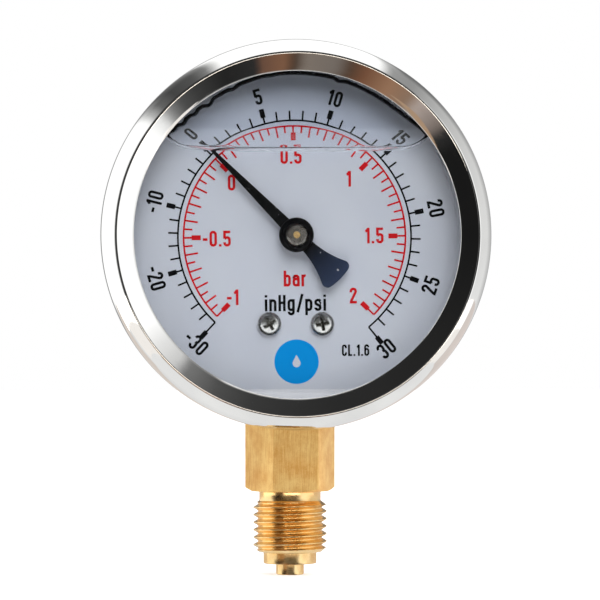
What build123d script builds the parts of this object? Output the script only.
"""Liquid-filled Bourdon-tube pressure gauge, 63 mm nominal size, bottom connection G 1/4.

Frame: millimetres, +Z up, the dial faces -Y.  The origin is on the axis of the pressure
connection, where its thread's full diameter starts; the lead-in, collar and pilot are below.
Depths are values of y: they fall from the back of the case towards the viewer.  Places on the
face are (x, z) pairs from the pointer's axis.
"""

import os
from math import acos, atan2, ceil, cos, degrees, hypot, pi, radians, sin, sqrt, tan
from typing import NamedTuple

from build123d import *

# ---- pressure connection, G 1/4 B -----------------------------------------------------------
THREAD_DIAMETER = 13.157
THREAD_LENGTH = 8.0
THREAD_LEAD_IN = 0.6
UNDERCUT_DIAMETER = 11.0
UNDERCUT_LENGTH = 2.3
COLLAR_DIAMETER = 9.5
COLLAR_LENGTH = 2.1
PILOT_DIAMETER = 5.0
PILOT_LENGTH = 2.0
HEX_ACROSS_FLATS = 14.0
HEX_TURN = 4.5
HEX_LENGTH = 14.5
HEX_CHAMFER = 1.1
HEX_CHAMFER_ANGLE = 30.0
TURNED_EDGE = 0.3
BORE_DIAMETER = 3.0

# ---- case, front ring and window ------------------------------------------------------------
CASE_RADIUS = 31.0
CASE_WALL = 0.7
CASE_CORNER = 1.6
BACK_BAND = 6.5
BACK_STEP = 0.6
FLANGE_WIDTH = 2.2
RING_FLANGE_GAP = 0.25
RING_WALL = 0.8
RING_SHOULDER_DEPTH = 5.2
RING_RIDGE_INSET = 2.55
RING_RIDGE_ROUND = 0.45
RING_HEIGHT = 2.2
RING_LIP_EDGE = 0.35
RING_CRIMP_GAP = 0.4
RING_LIP_OVERLAP = 1.75
WINDOW_THICKNESS = 3.0
WINDOW_EDGE_GAP = 0.85
GASKET_THICKNESS = 1.2
GASKET_WIDTH = 2.6

# ---- depth stack, from the inside of the back wall forwards ---------------------------------
PLATE_THICKNESS = 1.0
PLATE_GAP = 5.8
PLATE_TO_DIAL = 0.7
DIAL_THICKNESS = 0.7
DIAL_TO_POINTER = 1.8
POINTER_THICKNESS = 0.3
DIAL_TO_WINDOW = 4.2

# ---- socket block and seals -----------------------------------------------------------------
SOCKET_HOLE_GAP = 0.2
SOCKET_FLANGE_LEDGE = 0.8
SOCKET_BACK_GAP = 0.1
SOCKET_FLANGE_TO_DIAL = 1.0
SOCKET_FLANGE_THICKNESS = 2.0
SEAL_THICKNESS = 0.6
BLOCK_WIDTH = 17.0
BLOCK_TOP = -12.4
BLOCK_ROUND = 2.0

# ---- Bourdon tube ---------------------------------------------------------------------------
TUBE_CASE_GAP = 7.3
TUBE_WIDTH = 10.5
TUBE_HEIGHT = 2.4
TUBE_WALL = 0.3
TUBE_PLATE_GAP = 0.35
TUBE_BLOCK_MARGIN = 1.7
TUBE_START = 8.0
TUBE_END = 285.0
TUBE_PLUG_ARC = 5.0
TUBE_CAP_ARC = 3.5
CHANNEL_DIAMETER = 1.4
PLUG_IN_TUBE_GAP = 0.05
TUBE_CAP_GAP = 0.2
LUG_INSET = 2.5
LUG_TUBE_GAP = 0.6
LUG_CLEAR_ARC = 20.0

# ---- movement -------------------------------------------------------------------------------
MODULE = 0.2
PINION_TEETH = 14
SECTOR_TEETH = 112
PRESSURE_ANGLE = 25.0
ADDENDUM = 0.9
DEDENDUM = 1.3
TOOTH_THINNING = 0.04
SECTOR_DIRECTION = -45.0
TEETH_BEFORE = 5
TEETH_AFTER = 9
SECTOR_THICKNESS = 1.0
SECTOR_RIM = 1.6
SECTOR_HUB_RADIUS = 2.0
SECTOR_WEB = 1.2
SECTOR_SPOKE_ANGLE = 0.12
TAIL_LENGTH = 5.0
TAIL_DIRECTION = -32.0
TAIL_END_RADIUS = 1.3
LINK_THICKNESS = 0.8
LINK_WIDTH = 2.8
LINK_PIN_DIAMETER = 1.0
LINK_RIVET_HEAD = 0.35
BLOCK_TO_LINK = 2.5
LINK_TO_LUG = 0.2
LINK_TO_SECTOR = 0.3
OPEN_PIVOT_CLEARANCE = 0.22
TIP_PIVOT_INSET = 6.7
TIP_PIVOT_DROP = -5.0
TIP_LUG_RADIUS = 1.7
SPINDLE_DIAMETER = 1.6
SPINDLE_NOSE = 1.2
PIVOT_DIAMETER = 1.0
PINION_LENGTH = 3.0
PIVOT_ENDS = 0.6
SPINDLE_END = 1.0
SHAFT_END_PLAY = 0.1
RUNNING_CLEARANCE = 0.03
FIT_CLEARANCE = 0.01
MOVEMENT_PILLARS = ((-8.5, -4.0), (11.3, 3.2), (0.4, -12.2))
PILLAR_RADIUS = 1.5
PLATE_EDGE = 2.4
PLATE_CENTRE_EDGE = 3.9
PILLAR_NOTCH_GAP = 0.3

# ---- hairspring -----------------------------------------------------------------------------
COLLET_RADIUS = 1.5
COLLET_HEIGHT = 1.0
COLLET_TO_PLATE = 0.15
HAIRSPRING_STRIP = 0.12
HAIRSPRING_WIDTH = 0.6
HAIRSPRING_PITCH = 0.8
HAIRSPRING_TURNS = 3.5
HAIRSPRING_TO_PLATE = 0.3
STUD_RADIUS = 0.5
STUD_PAST_STRIP = 0.3

# ---- dial, pointer and their fasteners ------------------------------------------------------
DIAL_EDGE_GAP = 1.0
DIAL_CENTRE_HOLE = 1.5
DIAL_SCREW_SPACING = 9.3
DIAL_SCREW_DROP = -15.6
DIAL_PILLAR_RADIUS = 1.9
PILLAR_SPIGOT_DIAMETER = 2.4
PILLAR_SPIGOT_LENGTH = 4.0
PILLAR_SPIGOT_END_GAP = 0.3
POINTER_LENGTH = 21.3
POINTER_TIP_WIDTH = 0.5
POINTER_ROOT_WIDTH = 2.4
POINTER_RING_RADIUS = 3.05
POINTER_REST = -45.0
POINTER_TAIL_LENGTH = 10.9
POINTER_TAIL_HALF_ANGLE = 18.5
POINTER_TAIL_NECK = 2.3
POINTER_TAIL_CORNER = 1.0
POINTER_TAIL_WAIST = 0.25
HUB_RADIUS = 2.1
HUB_HEIGHT = 1.3
HUB_SLEEVE_RADIUS = 1.3
HUB_SLEEVE_LENGTH = 0.9
HUB_ROUND = 0.45
HUB_RING_HEIGHT = 1.05
HUB_RING_ROUND = 0.7

# ---- fill plug and case screws --------------------------------------------------------------
PLUG_DEPTH = -2.5
PLUG_RADIUS = 3.5
PLUG_HEAD_RADIUS = 5.0
PLUG_HEAD_HEIGHT = 2.4
PLUG_HEAD_EDGE = 0.8
PLUG_DIMPLE_RADIUS = 1.5
PLUG_DIMPLE_SLOPE = 0.5
PLUG_NECK_OVERLAP = 0.5
PLUG_BARB_RADIUS = 4.3
PLUG_BARB_LENGTH = 2.0
PLUG_BARB_TAPER = 1.2
CASE_SCREW_SPACING = 10.0
CASE_SCREW_DROP = -18.5
CASE_WASHER_RADIUS = 3.1
CASE_WASHER_THICKNESS = 0.6
RESTRICTOR_LENGTH = 4.0
RESTRICTOR_HOLE = 0.6
RESTRICTOR_RECESS = 0.5
RESTRICTOR_SLOT_WIDTH = 0.5
RESTRICTOR_SLOT_DEPTH = 0.5
CUT_PAST = 1.0


class ScrewSize(NamedTuple):
    """A pan-head screw with a cross recess; the shank's length is below the head."""

    shank: float
    length: float
    head: float
    height: float


DIAL_SCREW = ScrewSize(shank=2.0, length=4.0, head=4.2, height=1.2)
CASE_SCREW = ScrewSize(shank=3.0, length=6.5, head=5.6, height=1.9)
MOVEMENT_SCREW = ScrewSize(shank=1.4, length=2.4, head=2.7, height=0.45)
HEAD_BEVEL = 0.45
RECESS_SPAN = 0.52
RECESS_WIDTH = 0.12
RECESS_DEPTH = 0.65

# ---- sizes that follow ----------------------------------------------------------------------
COLLAR_BOTTOM = -THREAD_LEAD_IN - COLLAR_LENGTH
PILOT_BOTTOM = COLLAR_BOTTOM - PILOT_LENGTH
HEX_BOTTOM = THREAD_LENGTH + UNDERCUT_LENGTH
HEX_CORNER_RADIUS = HEX_ACROSS_FLATS / sqrt(3)
CENTRE_HEIGHT = HEX_BOTTOM + HEX_LENGTH + CASE_RADIUS
CASE_INNER = CASE_RADIUS - CASE_WALL
SOCKET_HOLE_RADIUS = ceil(HEX_CORNER_RADIUS * 10) / 10 + SOCKET_HOLE_GAP
SOCKET_FLANGE_RADIUS = SOCKET_HOLE_RADIUS + SOCKET_FLANGE_LEDGE
BLOCK_BACK = SOCKET_FLANGE_RADIUS + SOCKET_BACK_GAP
BLOCK_DEPTH = TUBE_WIDTH + TUBE_BLOCK_MARGIN
BLOCK_FRONT = BLOCK_BACK - BLOCK_DEPTH
BACK_FACE = BLOCK_BACK + CASE_WALL + BACK_STEP
BACK_STEP_RADIUS = CASE_RADIUS - BACK_BAND
TUBE_RADIUS = CASE_INNER - TUBE_CASE_GAP
TUBE_CENTRE_DEPTH = BLOCK_FRONT + TUBE_PLATE_GAP + TUBE_WIDTH / 2
TIP_PIVOT = (TUBE_RADIUS - TIP_PIVOT_INSET, TIP_PIVOT_DROP)
BACK_PLATE_FRONT = BLOCK_FRONT - PLATE_THICKNESS
FRONT_PLATE_BACK = BACK_PLATE_FRONT - PLATE_GAP
FRONT_PLATE_FRONT = FRONT_PLATE_BACK - PLATE_THICKNESS
DIAL_BACK = min(FRONT_PLATE_FRONT - PLATE_TO_DIAL, -SOCKET_FLANGE_RADIUS - SOCKET_FLANGE_TO_DIAL)
DIAL_FRONT = DIAL_BACK - DIAL_THICKNESS
POINTER_BACK = DIAL_FRONT - DIAL_TO_POINTER
POINTER_FRONT = POINTER_BACK - POINTER_THICKNESS
WINDOW_BACK = DIAL_FRONT - DIAL_TO_WINDOW
WINDOW_FRONT = WINDOW_BACK - WINDOW_THICKNESS
FLANGE_FRONT = WINDOW_BACK + GASKET_THICKNESS
FLANGE_BACK = FLANGE_FRONT + CASE_WALL
RING_FRONT = WINDOW_FRONT - RING_HEIGHT
RING_RADIUS = CASE_RADIUS + FLANGE_WIDTH + RING_FLANGE_GAP + RING_WALL
RING_RIDGE_RADIUS = RING_RADIUS - RING_RIDGE_INSET
VIEW_RADIUS = CASE_INNER - RING_LIP_OVERLAP
WINDOW_RADIUS = RING_RADIUS - RING_WALL - WINDOW_EDGE_GAP
DIAL_RADIUS = CASE_INNER - DIAL_EDGE_GAP
PINION_PITCH_RADIUS = MODULE * PINION_TEETH / 2
SECTOR_PITCH_RADIUS = MODULE * SECTOR_TEETH / 2
GEAR_CENTRES = PINION_PITCH_RADIUS + SECTOR_PITCH_RADIUS
LINK_BACK = BLOCK_FRONT - BLOCK_TO_LINK
LINK_FRONT = LINK_BACK - LINK_THICKNESS
SECTOR_BACK = LINK_FRONT - LINK_TO_SECTOR
SECTOR_FRONT = SECTOR_BACK - SECTOR_THICKNESS
TIP_LUG_BACK = BLOCK_FRONT + TUBE_PLATE_GAP + LUG_INSET
TIP_LUG_FRONT = LINK_BACK + LINK_TO_LUG


def at(direction, distance, start=(0.0, 0.0)):
    """The (x, z) place at a distance from start, direction in degrees anticlockwise from +x."""
    return (start[0] + distance * cos(radians(direction)), start[1] + distance * sin(radians(direction)))


ARBOR = at(SECTOR_DIRECTION, GEAR_CENTRES)
TAIL_PIVOT = at(TAIL_DIRECTION, TAIL_LENGTH, ARBOR)
DIAL_SCREW_PLACES = [(side * DIAL_SCREW_SPACING / 2, DIAL_SCREW_DROP) for side in (-1, 1)]
CASE_SCREW_PLACES = [(side * CASE_SCREW_SPACING / 2, CASE_SCREW_DROP) for side in (-1, 1)]


# ---- building blocks ------------------------------------------------------------------------
def face_plane(depth):
    """The plane of a disc or plate parallel to the dial: x to the right, y up, normal forwards."""
    return Plane(origin=(0, depth, CENTRE_HEIGHT), x_dir=(1, 0, 0), z_dir=(0, -1, 0))


def plate(sketch, back, front):
    """A flat piece between two depths, from a sketch in (x, z) places."""
    return extrude(face_plane(back) * sketch, back - front)


def pin(place, radius, back, front):
    """A cylinder along the pointer's axis direction."""
    return plate(Pos(*place) * Circle(radius), back, front)


def turned(outline):
    """Revolves a closed sketch in (radius, depth) about the pointer's axis."""
    section = Plane(origin=(0, 0, CENTRE_HEIGHT), x_dir=(1, 0, 0), z_dir=(0, 0, 1)) * outline
    return revolve(section, Axis((0, 0, CENTRE_HEIGHT), (0, 1, 0)))


def upright(outline, depth=0.0):
    """Revolves a closed sketch in (radius, height) about a vertical axis at a depth."""
    section = Plane(origin=(0, depth, 0), x_dir=(1, 0, 0), z_dir=(0, -1, 0)) * outline
    return revolve(section, Axis((0, depth, 0), (0, 0, 1)))


def polygon(*points):
    """A closed sketch with straight sides."""
    return make_face(Polyline(*points, close=True))


def rounded(sketch, corner, radius):
    """The sketch with the one corner nearest to a point rounded."""
    nearest = min(sketch.vertices(), key=lambda v: hypot(v.X - corner[0], v.Y - corner[1]))
    return fillet(nearest, radius)


def hull_of(circles):
    """The convex outline round some (place, radius) circles."""
    edges = [edge for place, radius in circles for edge in (Pos(*place) * Circle(radius)).edges()]
    return make_hull(edges)


def case_cylinder(radius):
    """A long cylinder on the pointer's axis, for shaping what meets the case's round side."""
    return pin((0, 0), radius, BACK_FACE, WINDOW_FRONT)


def screw(place, seat, size, forwards=True):
    """A pan-head screw whose head sits on the depth called seat."""
    head = extrude(Circle(size.head / 2), size.height)
    head = chamfer(head.edges().group_by(Axis.Z)[-1], size.height * HEAD_BEVEL)
    shank = Pos(0, 0, -size.length) * extrude(Circle(size.shank / 2), size.length)
    depth = 2 * size.height * RECESS_DEPTH
    slot = Pos(0, 0, size.height) * Box(size.head * RECESS_SPAN, size.head * RECESS_WIDTH, depth)
    whole = head + shank - slot - Rot(0, 0, 90) * slot
    outwards = (0, -1, 0) if forwards else (0, 1, 0)
    return Plane(origin=(place[0], seat, CENTRE_HEIGHT + place[1]), x_dir=(1, 0, 0), z_dir=outwards) * whole


# ---- case group -----------------------------------------------------------------------------
def case():
    """Drawn steel cup: stepped back, round side, flange at the mouth and four kinds of hole."""
    back_inside = BACK_FACE - CASE_WALL
    shell = polygon(
        (0, BACK_FACE - BACK_STEP),
        (BACK_STEP_RADIUS, BACK_FACE - BACK_STEP),
        (BACK_STEP_RADIUS + BACK_STEP, BACK_FACE),
        (CASE_RADIUS, BACK_FACE),
        (CASE_RADIUS, FLANGE_BACK),
        (CASE_RADIUS + FLANGE_WIDTH, FLANGE_BACK),
        (CASE_RADIUS + FLANGE_WIDTH, FLANGE_FRONT),
        (CASE_INNER, FLANGE_FRONT),
        (CASE_INNER, back_inside),
        (BACK_STEP_RADIUS + BACK_STEP, back_inside),
        (BACK_STEP_RADIUS, BLOCK_BACK),
        (0, BLOCK_BACK),
    )
    shell = rounded(shell, (CASE_RADIUS, BACK_FACE), CASE_CORNER)
    shell = rounded(shell, (CASE_INNER, back_inside), CASE_CORNER - CASE_WALL)
    cup = turned(shell)
    socket_hole = Pos(0, 0, CENTRE_HEIGHT - CASE_RADIUS) * Cylinder(SOCKET_HOLE_RADIUS, CASE_RADIUS)
    plug_hole = Pos(0, PLUG_DEPTH, CENTRE_HEIGHT + CASE_RADIUS) * Cylinder(PLUG_RADIUS, CASE_RADIUS)
    cup = cup - socket_hole - plug_hole
    for place in CASE_SCREW_PLACES:
        cup -= pin(place, CASE_SCREW.shank / 2 + FIT_CLEARANCE, BACK_FACE, BLOCK_BACK - CUT_PAST)
    return cup


def ring_space(inset):
    """Half section of all that the ring's skin encloses, with the skin moved inwards by an inset."""
    run = RING_RADIUS - RING_RIDGE_RADIUS
    shoulder_radius = (run**2 + RING_SHOULDER_DEPTH**2) / (2 * run)
    shoulder_end = RING_FRONT + RING_SHOULDER_DEPTH
    slope = atan2(RING_HEIGHT - RING_LIP_EDGE, RING_RIDGE_RADIUS - VIEW_RADIUS)
    dome = Pos(RING_RADIUS - shoulder_radius, shoulder_end) * Circle(shoulder_radius - inset)
    in_front = Pos(RING_RADIUS, shoulder_end - RING_RADIUS) * Rectangle(2 * RING_RADIUS, 2 * RING_RADIUS)
    barrel = polygon(
        (0, shoulder_end),
        (RING_RADIUS - inset, shoulder_end),
        (RING_RADIUS - inset, FLANGE_BACK),
        (0, FLANGE_BACK),
    )
    lip = (VIEW_RADIUS + inset * sin(slope), WINDOW_FRONT - RING_LIP_EDGE + inset * cos(slope))
    half_plane = Pos(0, RING_RADIUS) * Rectangle(4 * RING_RADIUS, 2 * RING_RADIUS)
    behind_cone = Pos(*lip) * Rot(0, 0, -degrees(slope)) * half_plane
    return (dome & in_front & behind_cone) + (barrel & behind_cone)


def bezel_ring():
    """Polished ring: a cone down to the window, a round shoulder, a skirt crimped under the flange."""
    wall_back = FLANGE_BACK + RING_WALL
    inside = RING_RADIUS - RING_WALL
    past_front = RING_FRONT - CUT_PAST
    opening = polygon((0, past_front), (VIEW_RADIUS, past_front), (VIEW_RADIUS, WINDOW_FRONT), (0, WINDOW_FRONT))
    contents = polygon((0, WINDOW_FRONT), (inside, WINDOW_FRONT), (inside, FLANGE_BACK), (0, FLANGE_BACK))
    crimp = polygon(
        (CASE_RADIUS + RING_CRIMP_GAP, FLANGE_BACK),
        (RING_RADIUS, FLANGE_BACK),
        (RING_RADIUS, wall_back),
        (CASE_RADIUS + RING_CRIMP_GAP, wall_back),
    )
    section = ring_space(0) - ring_space(RING_WALL) - opening - contents + crimp
    section = rounded(section, (RING_RIDGE_RADIUS, RING_FRONT), RING_RIDGE_ROUND)
    section = rounded(section, (RING_RADIUS, wall_back), RING_WALL)
    return turned(section)


def window():
    """Flat clear disc under the ring's lip."""
    return pin((0, 0), WINDOW_RADIUS, WINDOW_BACK, WINDOW_FRONT)


def window_gasket():
    """Rubber ring between the window and the case flange."""
    outer = CASE_INNER + GASKET_WIDTH
    return plate(Circle(outer) - Circle(CASE_INNER), FLANGE_FRONT, WINDOW_BACK)


def fill_plug():
    """Rubber filling plug: head on the case's top, neck in its hole, barb inside."""
    top = CENTRE_HEIGHT + CASE_RADIUS
    head_top = top + PLUG_HEAD_HEIGHT
    neck_bottom = top - CASE_WALL - PLUG_BARB_LENGTH
    head = upright(
        polygon(
            (0, neck_bottom),
            (PLUG_HEAD_RADIUS, neck_bottom),
            (PLUG_HEAD_RADIUS, head_top - PLUG_HEAD_EDGE),
            (PLUG_HEAD_RADIUS - PLUG_HEAD_EDGE, head_top),
            (PLUG_DIMPLE_RADIUS + PLUG_DIMPLE_SLOPE, head_top),
            (PLUG_DIMPLE_RADIUS, head_top - PLUG_HEAD_EDGE),
            (0, head_top - PLUG_HEAD_EDGE),
        ),
        PLUG_DEPTH,
    ) - case_cylinder(CASE_RADIUS)
    barb = upright(
        polygon(
            (0, neck_bottom),
            (PLUG_BARB_RADIUS - PLUG_BARB_TAPER, neck_bottom),
            (PLUG_BARB_RADIUS, neck_bottom + PLUG_BARB_LENGTH / 2),
            (PLUG_BARB_RADIUS, top),
            (0, top),
        ),
        PLUG_DEPTH,
    ) & case_cylinder(CASE_INNER)
    neck_radius = PLUG_RADIUS - FIT_CLEARANCE
    neck_top = top + PLUG_NECK_OVERLAP
    neck = upright(
        polygon((0, neck_bottom), (neck_radius, neck_bottom), (neck_radius, neck_top), (0, neck_top)), PLUG_DEPTH
    )
    return head + barb + neck


# ---- socket group ---------------------------------------------------------------------------
def seal_top():
    """Height of the flat seat between the case's round inside and the socket's flange."""
    rise = CASE_INNER - sqrt(CASE_INNER**2 - SOCKET_FLANGE_RADIUS**2)
    return CENTRE_HEIGHT - CASE_INNER + rise + SEAL_THICKNESS


def socket():
    """Brass pressure connection: pilot, collar, thread, undercut, wrench hexagon, flange and tube block."""
    thread, undercut = THREAD_DIAMETER / 2, UNDERCUT_DIAMETER / 2
    collar, pilot = COLLAR_DIAMETER / 2, PILOT_DIAMETER / 2
    edge = TURNED_EDGE
    shank = upright(
        polygon(
            (0, PILOT_BOTTOM),
            (pilot - edge, PILOT_BOTTOM),
            (pilot, PILOT_BOTTOM + edge),
            (pilot, COLLAR_BOTTOM),
            (collar - edge, COLLAR_BOTTOM),
            (collar, COLLAR_BOTTOM + edge),
            (collar, -THREAD_LEAD_IN),
            (thread - THREAD_LEAD_IN, -THREAD_LEAD_IN),
            (thread, 0),
            (thread, THREAD_LENGTH),
            (undercut, THREAD_LENGTH + (thread - undercut) / 2),
            (undercut, HEX_BOTTOM + edge),
            (0, HEX_BOTTOM + edge),
        )
    )
    flange_bottom = seal_top()
    flange_top = flange_bottom + SOCKET_FLANGE_THICKNESS
    block_top = CENTRE_HEIGHT + BLOCK_TOP
    hexagon = RegularPolygon(HEX_ACROSS_FLATS / 2, 6, major_radius=False, rotation=HEX_TURN)
    hexagon = Pos(0, 0, HEX_BOTTOM) * extrude(hexagon, flange_top - HEX_BOTTOM)
    past_corner = HEX_CORNER_RADIUS + CUT_PAST
    chamfer_rise = (HEX_CHAMFER + CUT_PAST) * tan(radians(HEX_CHAMFER_ANGLE))
    chamfer_cone = upright(
        polygon(
            (0, HEX_BOTTOM),
            (HEX_CORNER_RADIUS - HEX_CHAMFER, HEX_BOTTOM),
            (past_corner, HEX_BOTTOM + chamfer_rise),
            (past_corner, block_top),
            (0, block_top),
        )
    )
    hexagon = hexagon & chamfer_cone
    flange = Pos(0, 0, flange_bottom) * extrude(Circle(SOCKET_FLANGE_RADIUS), flange_top - flange_bottom)
    block = plate(
        Pos(0, (flange_bottom + block_top) / 2 - CENTRE_HEIGHT)
        * Rectangle(BLOCK_WIDTH, block_top - flange_bottom),
        BLOCK_BACK,
        BLOCK_FRONT,
    )
    top_edges = block.edges().filter_by(Axis.Y).group_by(Axis.Z)[-1]
    block = fillet(top_edges, BLOCK_ROUND)
    whole = shank + hexagon + (flange & case_cylinder_deep()) + block
    start_x, start_z = tube_place(TUBE_START)
    channel_top = CENTRE_HEIGHT + start_z
    bore = Pos(0, 0, PILOT_BOTTOM) * extrude(Circle(BORE_DIAMETER / 2), channel_top + CUT_PAST - PILOT_BOTTOM)
    channel = Plane(origin=(0, 0, channel_top), z_dir=(-1, 0, 0)) * extrude(Circle(CHANNEL_DIAMETER / 2), -start_x)
    whole = whole - bore - channel - tube_envelope()
    for place in DIAL_SCREW_PLACES:
        reach = BLOCK_FRONT + PILLAR_SPIGOT_LENGTH
        whole -= pin(place, PILLAR_SPIGOT_DIAMETER / 2 + FIT_CLEARANCE, reach, BLOCK_FRONT)
    for place in CASE_SCREW_PLACES:
        whole -= pin(place, CASE_SCREW.shank / 2 + FIT_CLEARANCE, BLOCK_BACK, BLOCK_BACK - CASE_SCREW.length)
    return whole


def case_cylinder_deep():
    """The space inside the case, back to the stepped wall."""
    return pin((0, 0), CASE_INNER, BLOCK_BACK, WINDOW_FRONT)


def socket_seal():
    """Rubber ring round the hexagon, between the case's round inside and the socket's flange."""
    ring = Circle(SOCKET_FLANGE_RADIUS) - Circle(SOCKET_HOLE_RADIUS)
    bottom = CENTRE_HEIGHT - CASE_RADIUS
    return (Pos(0, 0, bottom) * extrude(ring, seal_top() - bottom)) & case_cylinder_deep()


def restrictor():
    """Throttle screw in the mouth of the bore, which damps pressure pulses."""
    bottom = PILOT_BOTTOM + RESTRICTOR_RECESS
    body = Circle(BORE_DIAMETER / 2 - FIT_CLEARANCE) - Circle(RESTRICTOR_HOLE / 2)
    slot = Box(BORE_DIAMETER, RESTRICTOR_SLOT_WIDTH, 2 * RESTRICTOR_SLOT_DEPTH)
    return Pos(0, 0, bottom) * (extrude(body, RESTRICTOR_LENGTH) - slot)


def case_screws():
    """Two screws that pull the socket block against the case's back."""
    seat = BACK_FACE - BACK_STEP + CASE_WASHER_THICKNESS
    return Compound([screw(place, seat, CASE_SCREW, forwards=False).solid() for place in CASE_SCREW_PLACES])


def case_screw_washers():
    """Sealing washers under the case screws."""
    seat = BACK_FACE - BACK_STEP
    ring = Circle(CASE_WASHER_RADIUS) - Circle(CASE_SCREW.shank / 2 + FIT_CLEARANCE)
    return Compound(
        [plate(Pos(*place) * ring, seat + CASE_WASHER_THICKNESS, seat).solid() for place in CASE_SCREW_PLACES]
    )


# ---- Bourdon tube and its end piece ---------------------------------------------------------
def tube_place(turn, radius=TUBE_RADIUS):
    """The (x, z) place on the tube's arc; turn runs in degrees clockwise from straight down."""
    return (-radius * sin(radians(turn)), -radius * cos(radians(turn)))


def tube_arc(width, height, first, last):
    """A solid with a flat-oval section along the tube's arc, between two turns."""
    section = Plane(origin=(0, 0, CENTRE_HEIGHT), x_dir=(0, 1, 0), z_dir=(1, 0, 0)) * (
        Pos(TUBE_CENTRE_DEPTH, -TUBE_RADIUS) * SlotOverall(width, height)
    )
    axis = Axis((0, 0, CENTRE_HEIGHT), (0, 1, 0))
    return revolve(section, axis, last - first).rotate(axis, first)


def tube_envelope():
    """The stretch of the tube's outside that is soldered into the block."""
    reach = degrees(BLOCK_WIDTH / TUBE_RADIUS)
    return tube_arc(TUBE_WIDTH, TUBE_HEIGHT, TUBE_START, TUBE_START + reach)


def bourdon_tube():
    """C-shaped flat-oval tube, open at the block and at its tip."""
    outside = tube_arc(TUBE_WIDTH, TUBE_HEIGHT, TUBE_START, TUBE_END)
    inside = tube_arc(TUBE_WIDTH - 2 * TUBE_WALL, TUBE_HEIGHT - 2 * TUBE_WALL, TUBE_START, TUBE_END)
    return outside - inside


def tube_tip():
    """End piece: a plug in the tube's end, a cap over it and a lug for the link."""
    gap = TUBE_WALL + PLUG_IN_TUBE_GAP
    cap_start = TUBE_END + TUBE_CAP_GAP
    cap_end = TUBE_END + TUBE_CAP_ARC
    plug = tube_arc(TUBE_WIDTH - 2 * gap, TUBE_HEIGHT - 2 * gap, TUBE_END - TUBE_PLUG_ARC, cap_end)
    cap = tube_arc(TUBE_WIDTH, TUBE_HEIGHT, cap_start, cap_end)
    arm_root = tube_place((cap_start + 2 * cap_end) / 3)
    arm = hull_of([(TIP_PIVOT, TIP_LUG_RADIUS), (arm_root, TUBE_HEIGHT / 2)])
    lug = plate(arm, TIP_LUG_BACK, TIP_LUG_FRONT)
    room = 2 * LUG_TUBE_GAP
    lug -= tube_arc(TUBE_WIDTH + room, TUBE_HEIGHT + room, TUBE_END - LUG_CLEAR_ARC, cap_start)
    hole = pin(TIP_PIVOT, LINK_PIN_DIAMETER / 2 + FIT_CLEARANCE, TIP_LUG_BACK, TIP_LUG_FRONT)
    return plug + cap + lug - hole


def tip_pin():
    """Riveted pin that carries the link on the tube's end piece."""
    head_back = LINK_FRONT - RUNNING_CLEARANCE
    shank = pin(TIP_PIVOT, LINK_PIN_DIAMETER / 2, TIP_LUG_BACK, head_back)
    return shank + pin(TIP_PIVOT, LINK_PIN_DIAMETER, head_back, head_back - LINK_RIVET_HEAD)


def link():
    """Flat link: a close hole at the tube's end, a loose one at the toothed sector's tail."""
    bar = hull_of([(TIP_PIVOT, LINK_WIDTH / 2), (TAIL_PIVOT, LINK_WIDTH / 2)])
    bar -= Pos(*TIP_PIVOT) * Circle(LINK_PIN_DIAMETER / 2 + RUNNING_CLEARANCE)
    bar -= Pos(*TAIL_PIVOT) * Circle(LINK_PIN_DIAMETER / 2 + OPEN_PIVOT_CLEARANCE)
    return plate(bar, LINK_BACK, LINK_FRONT)


# ---- movement -------------------------------------------------------------------------------
def tooth_half_angle(teeth, radius):
    """Half the angle that a tooth fills at a radius, for an involute flank (radial below the base circle)."""
    pitch_radius = MODULE * teeth / 2
    base_radius = pitch_radius * cos(radians(PRESSURE_ANGLE))
    angle = acos(base_radius / max(radius, base_radius))
    thickness = (pi * MODULE / 2 - TOOTH_THINNING) / 2
    return thickness / pitch_radius + (tan(radians(PRESSURE_ANGLE)) - radians(PRESSURE_ANGLE)) - (tan(angle) - angle)


def tooth_points(teeth, middle):
    """The six corners of one tooth whose middle lies at an angle in radians: up one flank, down the other."""
    pitch_radius = MODULE * teeth / 2
    radii = (pitch_radius - DEDENDUM * MODULE, pitch_radius, pitch_radius + ADDENDUM * MODULE)
    up = [(r, middle - tooth_half_angle(teeth, r)) for r in radii]
    down = [(r, middle + tooth_half_angle(teeth, r)) for r in reversed(radii)]
    return [(r * cos(angle), r * sin(angle)) for r, angle in up + down]


def pinion_outline():
    """Outline of the pinion, with one tooth towards the sector's arbor."""
    step = 2 * pi / PINION_TEETH
    first = radians(SECTOR_DIRECTION)
    points = [p for n in range(PINION_TEETH) for p in tooth_points(PINION_TEETH, first + n * step)]
    return polygon(*points)


def spindle():
    """Pointer shaft with its pinion, two pivots and a nose that carries the pointer."""
    back = BACK_PLATE_FRONT + SPINDLE_END
    back_shoulder = BACK_PLATE_FRONT - SHAFT_END_PLAY
    front_shoulder = FRONT_PLATE_BACK + SHAFT_END_PLAY
    outline = polygon(
        (0, back),
        (PIVOT_DIAMETER / 2, back),
        (PIVOT_DIAMETER / 2, back_shoulder),
        (SPINDLE_DIAMETER / 2, back_shoulder),
        (SPINDLE_DIAMETER / 2, front_shoulder),
        (SPINDLE_NOSE / 2, front_shoulder),
        (SPINDLE_NOSE / 2, POINTER_FRONT - HUB_HEIGHT),
        (0, POINTER_FRONT - HUB_HEIGHT),
    )
    middle = (SECTOR_BACK + SECTOR_FRONT) / 2
    pinion = plate(pinion_outline(), middle + PINION_LENGTH / 2, middle - PINION_LENGTH / 2)
    return turned(outline) + pinion


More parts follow.
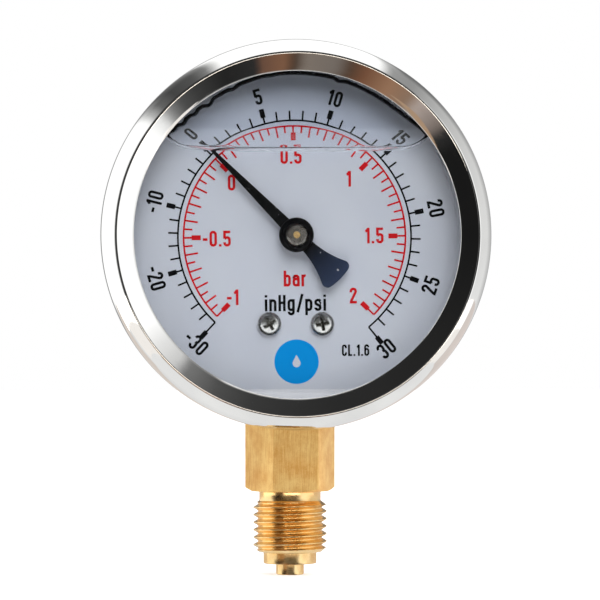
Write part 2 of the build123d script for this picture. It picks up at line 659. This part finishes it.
def sector_gear():
    """Toothed sector: rim of teeth towards the pinion, a window in its web, a tail for the link."""
    step = 2 * pi / SECTOR_TEETH
    places = [(n + 0.5) * step for n in range(-TEETH_BEFORE, TEETH_AFTER)]
    points = [p for middle in places for p in tooth_points(SECTOR_TEETH, middle)]
    fan = polygon((0, 0), *points) + Circle(SECTOR_HUB_RADIUS)
    outer = SECTOR_PITCH_RADIUS - DEDENDUM * MODULE - SECTOR_RIM
    inner = SECTOR_HUB_RADIUS + SECTOR_WEB
    first, last = places[0] + SECTOR_SPOKE_ANGLE, places[-1] - SECTOR_SPOKE_ANGLE
    arcs = [(r * cos(a), r * sin(a)) for r, a in ((inner, first), (outer, first), (outer, last), (inner, last))]
    rim_middle = (outer * cos((first + last) / 2), outer * sin((first + last) / 2))
    opening = make_face(
        Line(arcs[0], arcs[1])
        + ThreePointArc(arcs[1], rim_middle, arcs[2])
        + Line(arcs[2], arcs[3])
        + Line(arcs[3], arcs[0])
    )
    fan = Pos(*ARBOR) * Rot(0, 0, SECTOR_DIRECTION + 180) * (fan - opening)
    tail = hull_of([(ARBOR, SECTOR_HUB_RADIUS), (TAIL_PIVOT, TAIL_END_RADIUS)])
    shape = fan + tail - Pos(*ARBOR) * Circle(SPINDLE_DIAMETER / 2 + FIT_CLEARANCE)
    shape -= Pos(*TAIL_PIVOT) * Circle(LINK_PIN_DIAMETER / 2 + FIT_CLEARANCE)
    return plate(shape, SECTOR_BACK, SECTOR_FRONT)


def sector_arbor():
    """Shaft of the toothed sector, with a pivot at each end."""
    back = BACK_PLATE_FRONT + PIVOT_ENDS
    front = FRONT_PLATE_BACK - PIVOT_ENDS
    shoulders = (BACK_PLATE_FRONT - SHAFT_END_PLAY, FRONT_PLATE_BACK + SHAFT_END_PLAY)
    body = pin(ARBOR, SPINDLE_DIAMETER / 2, *shoulders)
    return body + pin(ARBOR, PIVOT_DIAMETER / 2, back, front)


def link_screw():
    """Shouldered screw in the sector's tail, through the link's loose hole."""
    head_front = LINK_BACK + RUNNING_CLEARANCE
    shank = pin(TAIL_PIVOT, LINK_PIN_DIAMETER / 2, head_front, SECTOR_FRONT)
    return shank + pin(TAIL_PIVOT, LINK_PIN_DIAMETER, head_front + LINK_RIVET_HEAD, head_front)


def movement_outline():
    """Outline that both movement plates share: round the pillars, the spindle and the arbor."""
    corners = [*MOVEMENT_PILLARS, ARBOR]
    return hull_of([(place, PLATE_EDGE) for place in corners] + [((0, 0), PLATE_CENTRE_EDGE)])


def pivot_holes():
    """The two bearing holes at the arbor and at the spindle's back pivot."""
    radius = PIVOT_DIAMETER / 2 + RUNNING_CLEARANCE
    return Circle(radius) + Pos(*ARBOR) * Circle(radius)


def movement_back_plate():
    """Rear plate, with a tab that the dial pillars clamp to the socket block."""
    tab = hull_of([(place, PLATE_EDGE) for place in DIAL_SCREW_PLACES] + [(MOVEMENT_PILLARS[2], PLATE_EDGE)])
    shape = movement_outline() + tab - pivot_holes()
    for place in DIAL_SCREW_PLACES:
        shape -= Pos(*place) * Circle(PILLAR_SPIGOT_DIAMETER / 2 + FIT_CLEARANCE)
    for place in MOVEMENT_PILLARS:
        shape -= Pos(*place) * Circle(PILLAR_RADIUS / 2 + FIT_CLEARANCE)
    return plate(shape, BLOCK_FRONT, BACK_PLATE_FRONT)


def movement_front_plate():
    """Front plate, held on the pillars by three small screws."""
    nose_hole = Circle(SPINDLE_NOSE / 2 + RUNNING_CLEARANCE)
    shape = movement_outline() - nose_hole - Pos(*ARBOR) * Circle(PIVOT_DIAMETER / 2 + RUNNING_CLEARANCE)
    for place in MOVEMENT_PILLARS:
        shape -= Pos(*place) * Circle(MOVEMENT_SCREW.shank / 2 + FIT_CLEARANCE)
    for place in DIAL_SCREW_PLACES:
        shape -= Pos(*place) * Circle(DIAL_PILLAR_RADIUS + PILLAR_NOTCH_GAP)
    return plate(shape, FRONT_PLATE_BACK, FRONT_PLATE_FRONT)


def movement_pillars():
    """Three spacers riveted to the rear plate and tapped for the front screws."""
    pillars = []
    for place in MOVEMENT_PILLARS:
        body = pin(place, PILLAR_RADIUS, BACK_PLATE_FRONT, FRONT_PLATE_BACK)
        body += pin(place, PILLAR_RADIUS / 2, BLOCK_FRONT, BACK_PLATE_FRONT)
        tapped = FRONT_PLATE_FRONT + MOVEMENT_SCREW.length
        body -= pin(place, MOVEMENT_SCREW.shank / 2 + FIT_CLEARANCE, tapped, FRONT_PLATE_BACK)
        pillars.append(body.solid())
    return Compound(pillars)


def movement_screws():
    """The three screws of the front plate."""
    return Compound([screw(place, FRONT_PLATE_FRONT, MOVEMENT_SCREW).solid() for place in MOVEMENT_PILLARS])


# ---- hairspring -----------------------------------------------------------------------------
def half_turn(number):
    """One half turn of the spiral, as a half ring; the centres alternate so that the halves join."""
    inner = COLLET_RADIUS + number * HAIRSPRING_PITCH / 2
    outer = inner + HAIRSPRING_STRIP
    upper = number % 2 == 0
    ring = Circle(outer) - Circle(inner)
    keep = Pos(0, outer if upper else -outer) * Rectangle(4 * outer, 2 * outer)
    return Pos(0 if upper else HAIRSPRING_PITCH / 2, 0) * (ring & keep)


def hairspring_end():
    """The (x, z) place where the spiral's outer end stops."""
    last = round(HAIRSPRING_TURNS * 2) - 1
    middle = COLLET_RADIUS + last * HAIRSPRING_PITCH / 2 + HAIRSPRING_STRIP / 2
    return (-middle, 0) if last % 2 == 0 else (middle + HAIRSPRING_PITCH / 2, 0)


def hairspring():
    """Flat spiral spring round the spindle that takes up play in the teeth."""
    back, front = hairspring_depths()
    spiral = half_turn(0)
    for number in range(1, round(HAIRSPRING_TURNS * 2)):
        spiral += half_turn(number)
    return plate(spiral, back, front)


def hairspring_depths():
    """Back and front of the spring's strip."""
    front = FRONT_PLATE_BACK + HAIRSPRING_TO_PLATE
    return front + HAIRSPRING_WIDTH, front


def hairspring_collet():
    """Brass ring on the spindle that holds the spring's inner end."""
    front = FRONT_PLATE_BACK + COLLET_TO_PLATE
    ring = Circle(COLLET_RADIUS - FIT_CLEARANCE) - Circle(SPINDLE_DIAMETER / 2 + FIT_CLEARANCE)
    return plate(ring, front + COLLET_HEIGHT, front)


def hairspring_stud():
    """Slotted post on the front plate that holds the spring's outer end."""
    strip_back, strip_front = hairspring_depths()
    back = strip_back + STUD_PAST_STRIP
    x, z = hairspring_end()
    post = pin((x, z), STUD_RADIUS, back, FRONT_PLATE_BACK)
    slot_width = HAIRSPRING_STRIP + 2 * FIT_CLEARANCE
    slot = Pos(x, z + STUD_RADIUS / 2) * Rectangle(slot_width, STUD_RADIUS * 3)
    return post - plate(slot, back, strip_front - FIT_CLEARANCE)


# ---- dial and pointer -----------------------------------------------------------------------
def dial():
    """Thin white disc with a centre hole and two screw holes."""
    disc = Circle(DIAL_RADIUS) - Circle(DIAL_CENTRE_HOLE)
    for place in DIAL_SCREW_PLACES:
        disc -= Pos(*place) * Circle(DIAL_SCREW.shank / 2 + FIT_CLEARANCE)
    return plate(disc, DIAL_BACK, DIAL_FRONT)


def dial_pillars():
    """Two turned pillars that clamp the movement to the block and carry the dial."""
    pillars = []
    for place in DIAL_SCREW_PLACES:
        spigot_end = BLOCK_FRONT + PILLAR_SPIGOT_LENGTH - PILLAR_SPIGOT_END_GAP
        body = pin(place, DIAL_PILLAR_RADIUS, BACK_PLATE_FRONT, DIAL_BACK)
        body += pin(place, PILLAR_SPIGOT_DIAMETER / 2, spigot_end, BACK_PLATE_FRONT)
        tapped = DIAL_FRONT + DIAL_SCREW.length
        body -= pin(place, DIAL_SCREW.shank / 2 + FIT_CLEARANCE, tapped, DIAL_BACK)
        pillars.append(body.solid())
    return Compound(pillars)


def dial_screws():
    """The two screws that show on the dial."""
    return Compound([screw(place, DIAL_FRONT, DIAL_SCREW).solid() for place in DIAL_SCREW_PLACES])


def pointer():
    """Black pointer: a tapering blade, a ring round the hub and a flared tail."""
    blade = polygon(
        (-POINTER_ROOT_WIDTH / 2, 0),
        (-POINTER_TIP_WIDTH / 2, POINTER_LENGTH),
        (POINTER_TIP_WIDTH / 2, POINTER_LENGTH),
        (POINTER_ROOT_WIDTH / 2, 0),
    )
    spread = radians(POINTER_TAIL_HALF_ANGLE)
    end_x, end_z = POINTER_TAIL_LENGTH * sin(spread), -POINTER_TAIL_LENGTH * cos(spread)
    neck_z = -HUB_RADIUS
    half_neck = POINTER_TAIL_NECK / 2
    waist = (half_neck + POINTER_TAIL_WAIST * (end_x - half_neck), (neck_z + end_z) / 2)
    tail = make_face(
        Line((-half_neck, neck_z), (half_neck, neck_z))
        + ThreePointArc((half_neck, neck_z), waist, (end_x, end_z))
        + ThreePointArc((end_x, end_z), (0, -POINTER_TAIL_LENGTH), (-end_x, end_z))
        + ThreePointArc((-end_x, end_z), (-waist[0], waist[1]), (-half_neck, neck_z))
    )
    tail = fillet(tail.vertices().group_by(Axis.Y)[0], POINTER_TAIL_CORNER)
    shape = blade + tail + Circle(POINTER_RING_RADIUS)
    shape -= Circle(HUB_SLEEVE_RADIUS + FIT_CLEARANCE)
    return plate(Rot(0, 0, -POINTER_REST) * shape, POINTER_BACK, POINTER_FRONT)


def pointer_hub():
    """Turned boss riveted through the pointer's ring and pressed on the spindle's nose."""
    bore = SPINDLE_NOSE / 2 + FIT_CLEARANCE
    front = POINTER_FRONT - HUB_HEIGHT
    outline = polygon(
        (bore, POINTER_BACK + HUB_SLEEVE_LENGTH),
        (HUB_SLEEVE_RADIUS, POINTER_BACK + HUB_SLEEVE_LENGTH),
        (HUB_SLEEVE_RADIUS, POINTER_FRONT),
        (HUB_RADIUS, POINTER_FRONT),
        (HUB_RADIUS, front),
        (bore, front),
    )
    return turned(rounded(outline, (HUB_RADIUS, front), HUB_HEIGHT * HUB_ROUND))


def pointer_hub_ring():
    """Black domed ring that lies on the pointer round its boss."""
    bore = HUB_RADIUS + FIT_CLEARANCE
    front = POINTER_FRONT - HUB_RING_HEIGHT
    section = polygon(
        (bore, POINTER_FRONT), (POINTER_RING_RADIUS, POINTER_FRONT), (POINTER_RING_RADIUS, front), (bore, front)
    )
    return turned(rounded(section, (POINTER_RING_RADIUS, front), HUB_RING_ROUND))


PARTS = (
    case,
    bezel_ring,
    window,
    window_gasket,
    fill_plug,
    socket,
    socket_seal,
    restrictor,
    case_screws,
    case_screw_washers,
    bourdon_tube,
    tube_tip,
    tip_pin,
    link,
    link_screw,
    sector_gear,
    sector_arbor,
    spindle,
    movement_back_plate,
    movement_front_plate,
    movement_pillars,
    movement_screws,
    hairspring,
    hairspring_collet,
    hairspring_stud,
    dial,
    dial_pillars,
    dial_screws,
    pointer,
    pointer_hub,
    pointer_hub_ring,
)


def main():
    """Writes one STEP file for each sub-part."""
    os.makedirs("parts", exist_ok=True)
    for make in PARTS:
        export_step(make(), f"parts/{make.__name__}.step")


main()
